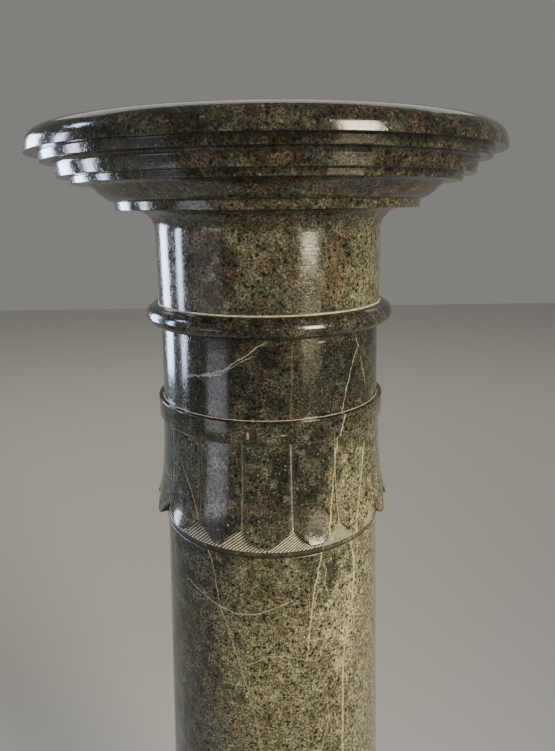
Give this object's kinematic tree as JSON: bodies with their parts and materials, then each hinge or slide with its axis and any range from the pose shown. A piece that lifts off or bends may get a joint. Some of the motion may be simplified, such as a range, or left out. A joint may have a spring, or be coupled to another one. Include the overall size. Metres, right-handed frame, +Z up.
{
  "type": "stone pedestal column",
  "caption": "Turned stone pedestal column with a round moulded top, a carved collar of leaf tongues, a tapering shaft, a turned base and a square plinth.",
  "frame": {"origin": "centre of the plinth's underside, on the surface that the column stands on", "axes": "+Z up along the column's axis, -Y towards the front of the picture, +X to its right"},
  "size_m": [0.3004, 0.3004, 1.0499],
  "materials": {
    "polished_stone": "polished"
  },
  "bodies": {
    "root": {"plinth": "polished_stone", "base": "polished_stone", "shaft": "polished_stone", "capital": "polished_stone"}
  },
  "joints": []
}
